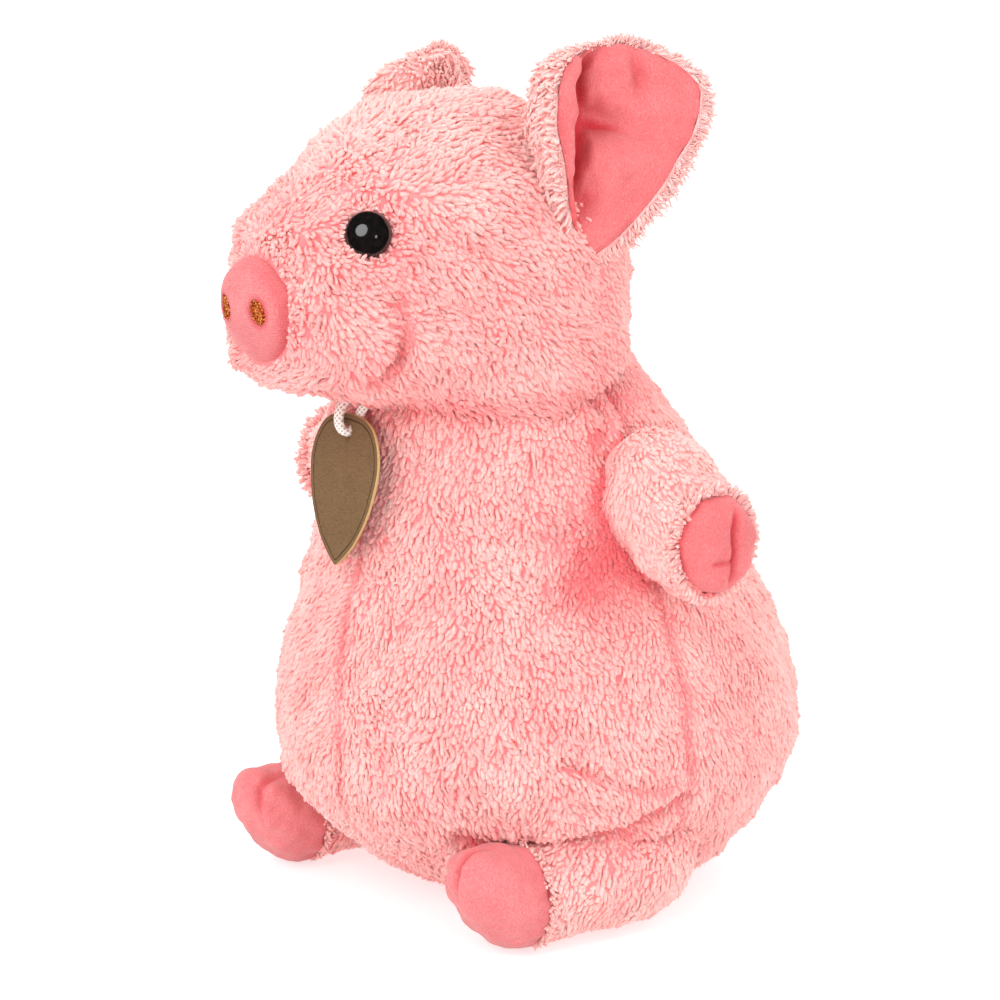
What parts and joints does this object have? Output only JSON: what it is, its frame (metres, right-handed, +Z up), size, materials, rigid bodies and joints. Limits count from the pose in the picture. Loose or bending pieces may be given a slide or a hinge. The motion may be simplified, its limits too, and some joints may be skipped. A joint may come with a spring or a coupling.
{
  "type": "plush pig",
  "caption": "Sitting plush pig in pink pile fabric with velour ears, snout and hooves, and a hang tag on a cord.",
  "frame": {"origin": "on the floor under the middle of the bounding box", "axes": "+Z up, the pig faces -Y, its own left side is +X"},
  "size_m": [0.1718, 0.1827, 0.2298],
  "materials": {
    "fur": "short curly plush pile, light pink",
    "velour": "short-nap velour, coral pink",
    "filling": "loose white fibre",
    "pellets": "cotton bag of small plastic pellets",
    "eye": "glossy black",
    "washer": "plain white",
    "thread": "copper glitter thread, satin stitch",
    "card": "kraft card",
    "satin": "white satin cord and tape"
  },
  "bodies": {
    "torso": {"torso_front_left_panel": "fur", "torso_front_right_panel": "fur", "torso_back_left_panel": "fur", "torso_back_right_panel": "fur", "torso_base_panel": "fur", "torso_filling": "filling", "pellet_bag": "pellets", "care_label": "satin"},
    "neck": {"neck_filling": "filling"},
    "head": {"head_left_side_panel": "fur", "head_right_side_panel": "fur", "head_gusset_panel": "fur", "chin_panel": "fur", "head_filling": "filling", "snout_disc": "velour", "nostril_left": "thread", "nostril_right": "thread", "eye_left": "eye", "eye_right": "eye", "eye_washer_left": "washer", "eye_washer_right": "washer"},
    "ear_left": {"ear_left_outer": "fur", "ear_left_inner": "velour"},
    "ear_right": {"ear_right_outer": "fur", "ear_right_inner": "velour"},
    "arm_left": {"arm_left_sleeve": "fur", "arm_left_hoof": "velour", "arm_left_filling": "filling"},
    "arm_right": {"arm_right_sleeve": "fur", "arm_right_hoof": "velour", "arm_right_filling": "filling"},
    "leg_left": {"leg_left_sleeve": "fur", "leg_left_hoof": "velour", "leg_left_filling": "filling"},
    "leg_right": {"leg_right_sleeve": "fur", "leg_right_hoof": "velour", "leg_right_filling": "filling"},
    "tail": {"tail": "velour"},
    "tag": {"hang_tag": "card", "tag_cord": "satin"}
  },
  "joints": [
    {"name": "head_nod", "type": "hinge", "parent": "torso", "child": "neck", "pos_m": [0, -0.00812, 0.1195], "axis": [1, 0, 0], "range_deg": [-10, 5], "stiffness_Nm_per_rad": 0.9},
    {"name": "head_turn", "type": "hinge", "parent": "neck", "child": "head", "pos_m": [0, -0.00812, 0.1195], "axis": [0, 0, 1], "range_deg": [-15, 15], "stiffness_Nm_per_rad": 0.5},
    {"name": "ear_left_flap", "type": "hinge", "parent": "head", "child": "ear_left", "pos_m": [0.0421, -0.02582, 0.1863], "axis": [0.38, 0.36, -0.852], "range_deg": [0, 25], "stiffness_Nm_per_rad": 0.03},
    {"name": "arm_left_swing", "type": "hinge", "parent": "torso", "child": "arm_left", "pos_m": [0.054, -0.00002, 0.1146], "axis": [0, 1, 0], "range_deg": [-20, 8], "stiffness_Nm_per_rad": 0.06},
    {"name": "leg_left_splay", "type": "hinge", "parent": "torso", "child": "leg_left", "pos_m": [0.05, -0.00302, 0.0192], "axis": [0, 0, 1], "range_deg": [-3, 9], "stiffness_Nm_per_rad": 0.08},
    {"name": "ear_right_flap", "type": "hinge", "parent": "head", "child": "ear_right", "pos_m": [-0.0415, -0.02122, 0.1803], "axis": [0.38, -0.36, 0.852], "range_deg": [0, 25], "stiffness_Nm_per_rad": 0.03},
    {"name": "arm_right_swing", "type": "hinge", "parent": "torso", "child": "arm_right", "pos_m": [-0.054, -0.00002, 0.1146], "axis": [0, -1, 0], "range_deg": [-20, 8], "stiffness_Nm_per_rad": 0.06},
    {"name": "leg_right_splay", "type": "hinge", "parent": "torso", "child": "leg_right", "pos_m": [-0.05, -0.00302, 0.0192], "axis": [0, 0, -1], "range_deg": [-3, 9], "stiffness_Nm_per_rad": 0.08},
    {"name": "tail_wag", "type": "hinge", "parent": "torso", "child": "tail", "pos_m": [0, 0.07908, 0.054], "axis": [0, 0, 1], "range_deg": [-12, 12], "stiffness_Nm_per_rad": 0.005},
    {"name": "tag_swing", "type": "hinge", "parent": "head", "child": "tag", "pos_m": [0, -0.05662, 0.1373], "axis": [-1, 0, 0], "range_deg": [0, 35]}
  ]
}
